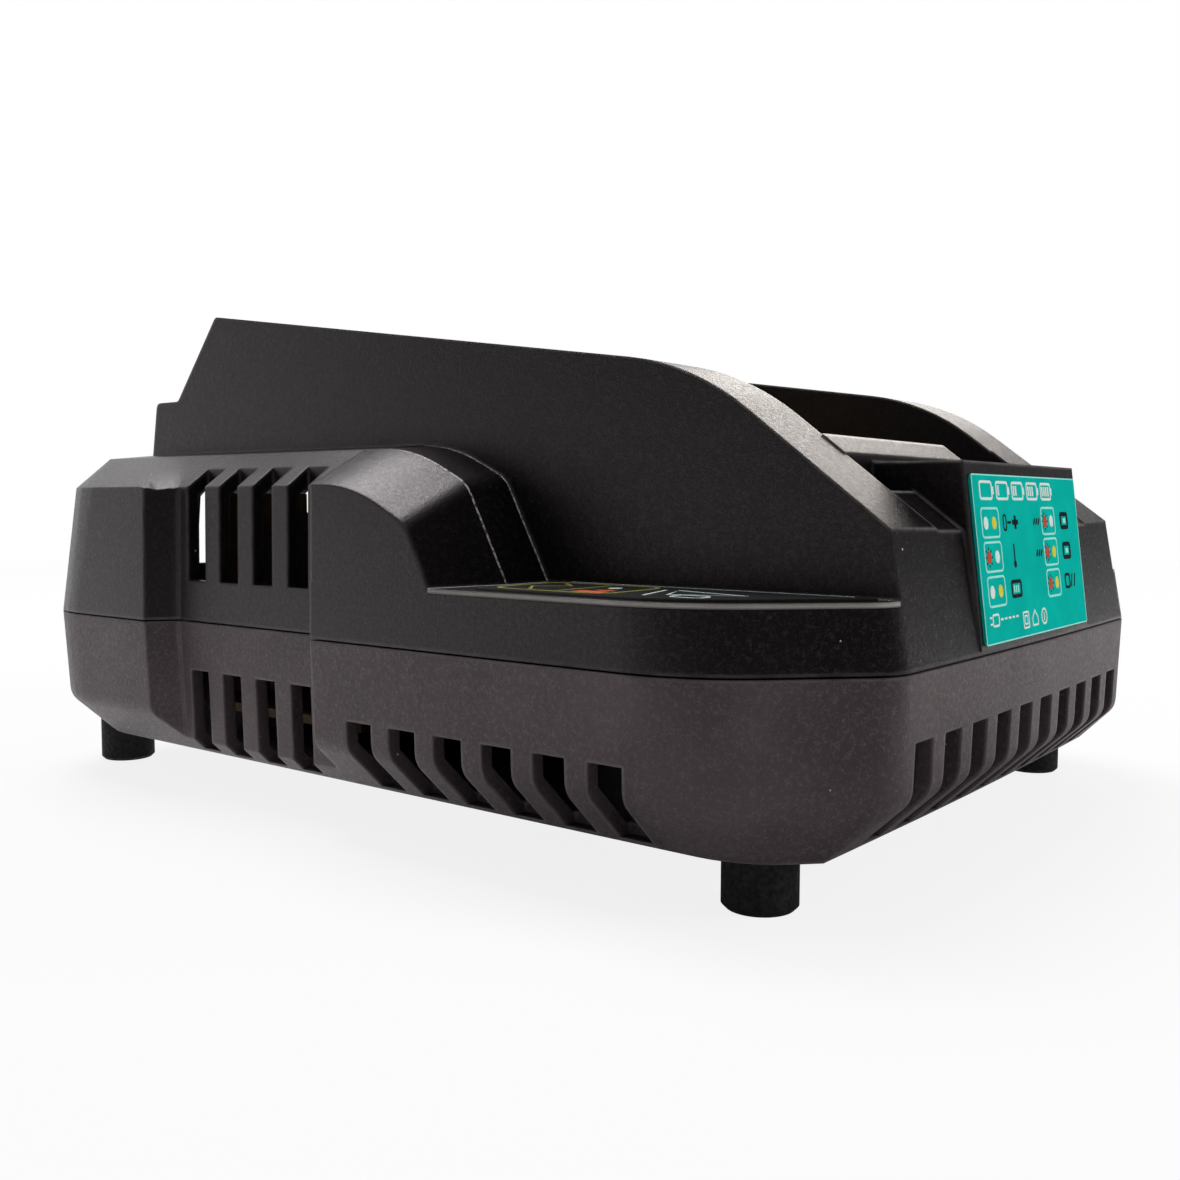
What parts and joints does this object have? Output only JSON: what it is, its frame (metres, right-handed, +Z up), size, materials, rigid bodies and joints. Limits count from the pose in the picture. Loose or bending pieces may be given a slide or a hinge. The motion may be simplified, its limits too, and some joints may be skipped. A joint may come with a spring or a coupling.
{
  "type": "power tool battery charger",
  "caption": "Desktop charger for slide-on power tool batteries, with a sloping bay between tall side walls, a vented moulded housing, rubber feet, and a power supply with a fan inside.",
  "frame": {"origin": "middle of the body's plan, at the level that the feet stand on", "axes": "+Y from the front face with the label to the rear face, +Z up, +X to the right of someone who looks along +Y"},
  "size_m": [0.1484, 0.1922, 0.0946],
  "materials": {
    "lower_shell_plastic": "fine spark-eroded grain, near black with a warm grey sheen",
    "upper_shell_plastic": "fine grain, near black, smoother on the tall walls",
    "foot_rubber": "moulded, slightly dusty",
    "teal_film": "printed film, satin",
    "dark_film": "printed film, matt",
    "clear_plastic": "clear, polished ends",
    "green_board": "solder mask",
    "brown_board": "bare phenolic board",
    "red_diode": "diffused lens",
    "amber_plastic": "moulded",
    "contact_metal": "plated spring strip",
    "red_insulation": "silicone insulation",
    "ferrite": "ground, dull grey",
    "copper_wire": "enamelled copper",
    "capacitor_sleeve": "shrunk sleeve",
    "sink_aluminium": "extruded, mill finish",
    "device_plastic": "moulded epoxy",
    "choke_core": "coated powder core",
    "yellow_plastic": "moulded box",
    "fuse_glass": "clear tube with plated caps",
    "plated_steel": "zinc plated",
    "pale_plastic": "moulded box",
    "fan_plastic": "moulded",
    "gland_rubber": "moulded"
  },
  "bodies": {
    "charger": {"base_shell": "lower_shell_plastic", "top_shell": "upper_shell_plastic", "foot_front_left": "foot_rubber", "foot_front_right": "foot_rubber", "foot_rear_left": "foot_rubber", "foot_rear_right": "foot_rubber", "front_label": "teal_film", "ledge_label": "dark_film", "light_pipes": "clear_plastic", "indicator_board": "green_board", "indicator_leds": "red_diode", "terminal_block": "amber_plastic", "power_contacts": "contact_metal", "signal_contacts": "contact_metal", "output_leads": "red_insulation", "main_board": "brown_board", "control_board": "green_board", "transformer_core": "ferrite", "transformer_coil": "copper_wire", "bulk_capacitor": "capacitor_sleeve", "output_capacitors": "capacitor_sleeve", "primary_heat_sink": "sink_aluminium", "power_transistor": "device_plastic", "bridge_rectifier": "device_plastic", "output_heat_sink": "sink_aluminium", "output_rectifier": "device_plastic", "line_choke": "choke_core", "choke_winding": "copper_wire", "x_capacitor": "yellow_plastic", "fuse": "fuse_glass", "fuse_clips": "plated_steel", "relay": "pale_plastic", "buzzer": "device_plastic", "fan_frame": "fan_plastic", "fan_stator": "copper_wire", "cord_gland": "gland_rubber", "board_screws": "plated_steel", "housing_screws": "plated_steel"},
    "fan": {"fan_rotor": "fan_plastic"}
  },
  "joints": [
    {"name": "fan_spin", "type": "hinge", "parent": "charger", "child": "fan", "pos_m": [0.0606, 0.02375, 0.03774], "axis": [1, 0, 0], "continuous": true}
  ]
}
